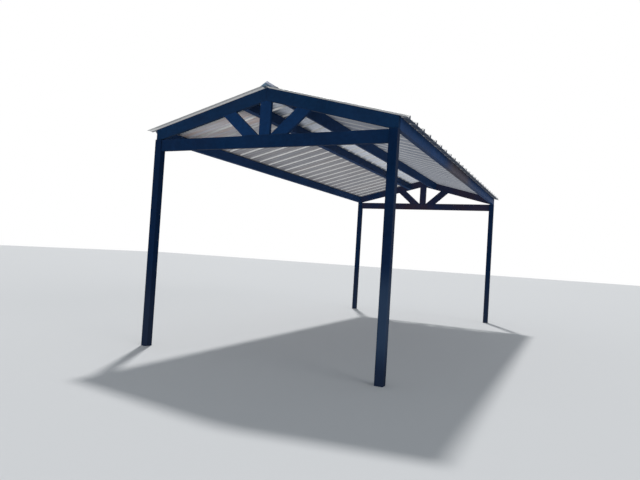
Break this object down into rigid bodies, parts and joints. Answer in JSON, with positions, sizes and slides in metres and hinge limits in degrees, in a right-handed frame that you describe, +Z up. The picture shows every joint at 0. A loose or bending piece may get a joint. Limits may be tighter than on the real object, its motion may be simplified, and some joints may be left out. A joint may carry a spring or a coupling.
{
  "type": "gabled steel carport",
  "caption": "Open gabled carport: square posts, welded end trusses, channel purlins and a ribbed sheet roof.",
  "frame": {"origin": "on the ground, under the middle of the roof", "axes": "+Y along the ridge from the front gable to the rear, +X to the right seen from the front, +Z up"},
  "size_m": [3.646, 7.74, 3.462],
  "materials": {
    "frame_paint": "semi-gloss dark paint",
    "roof_metal": "bare zinc-aluminium coated sheet",
    "cap_metal": "bare zinc-aluminium coated sheet"
  },
  "bodies": {
    "root": {"eave_purlin_left": "frame_paint", "eave_purlin_right": "frame_paint", "front_bottom_chord": "frame_paint", "front_king_post": "frame_paint", "front_strut_left": "frame_paint", "front_strut_right": "frame_paint", "front_top_chord_left": "frame_paint", "front_top_chord_right": "frame_paint", "post_front_left": "frame_paint", "post_front_right": "frame_paint", "post_rear_left": "frame_paint", "post_rear_right": "frame_paint", "rear_bottom_chord": "frame_paint", "rear_king_post": "frame_paint", "rear_strut_left": "frame_paint", "rear_strut_right": "frame_paint", "rear_top_chord_left": "frame_paint", "rear_top_chord_right": "frame_paint", "ridge_cap_front": "cap_metal", "ridge_cap_middle": "cap_metal", "ridge_cap_rear": "cap_metal", "roof_purlin_left": "frame_paint", "roof_purlin_right": "frame_paint", "roof_sheet_left_1": "roof_metal", "roof_sheet_left_2": "roof_metal", "roof_sheet_left_3": "roof_metal", "roof_sheet_left_4": "roof_metal", "roof_sheet_left_5": "roof_metal", "roof_sheet_left_6": "roof_metal", "roof_sheet_left_7": "roof_metal", "roof_sheet_left_8": "roof_metal", "roof_sheet_left_9": "roof_metal", "roof_sheet_right_1": "roof_metal", "roof_sheet_right_2": "roof_metal", "roof_sheet_right_3": "roof_metal", "roof_sheet_right_4": "roof_metal", "roof_sheet_right_5": "roof_metal", "roof_sheet_right_6": "roof_metal", "roof_sheet_right_7": "roof_metal", "roof_sheet_right_8": "roof_metal", "roof_sheet_right_9": "roof_metal"}
  },
  "joints": []
}
